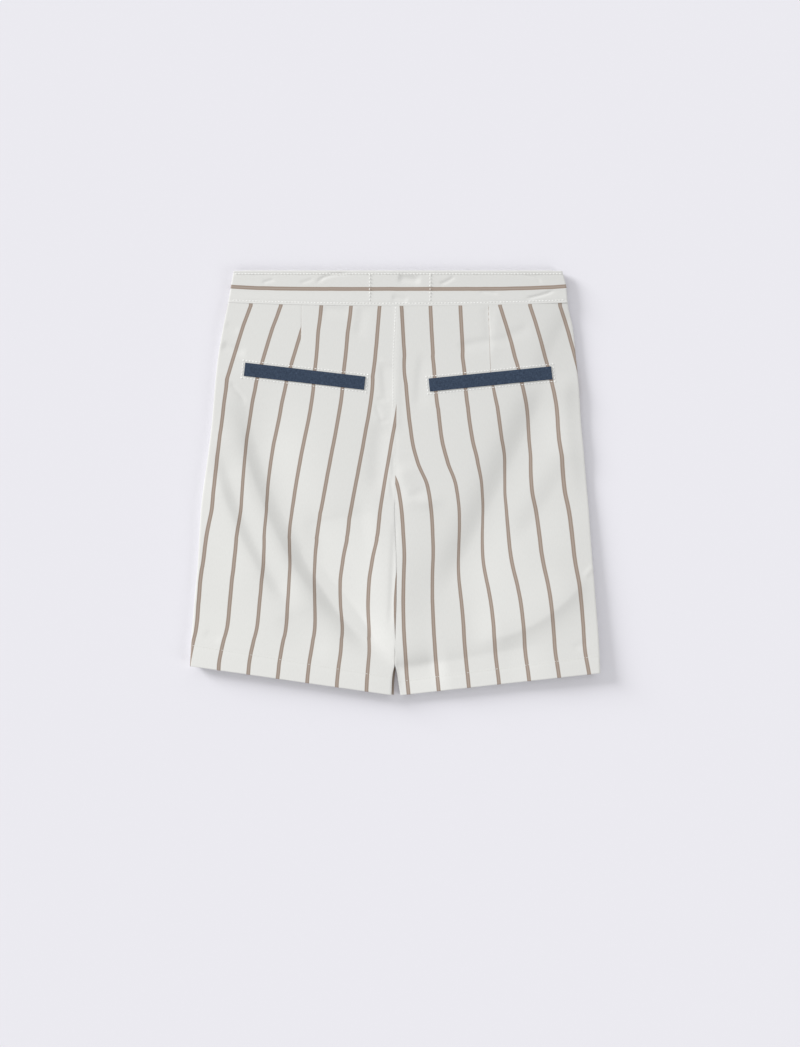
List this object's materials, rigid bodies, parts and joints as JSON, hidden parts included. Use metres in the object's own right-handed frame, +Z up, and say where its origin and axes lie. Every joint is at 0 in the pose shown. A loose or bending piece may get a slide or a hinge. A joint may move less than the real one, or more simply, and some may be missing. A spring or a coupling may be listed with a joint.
{
  "type": "bermuda shorts",
  "caption": "Child's tailored bermuda shorts in striped cotton, laid flat with the back up, with waistband, darts, chambray pocket welts and turned-up hems.",
  "frame": {"origin": "middle of the laid-out shorts, on the surface they lie on", "axes": "+Z up out of the surface, +Y towards the waist, +X towards the wearer's right leg, with the back up"},
  "size_m": [0.3684, 0.382, 0.0056],
  "materials": {
    "striped_cotton": "off-white cotton twill with narrow taupe stripes",
    "chambray": "dark blue chambray"
  },
  "bodies": {
    "root": {"back_panel_left": "striped_cotton", "back_panel_right": "striped_cotton", "back_waistband": "striped_cotton", "front_panel_left": "striped_cotton", "front_panel_right": "striped_cotton", "front_waistband_left": "striped_cotton", "front_waistband_right": "striped_cotton", "welt_left": "chambray", "welt_right": "chambray"}
  },
  "joints": []
}
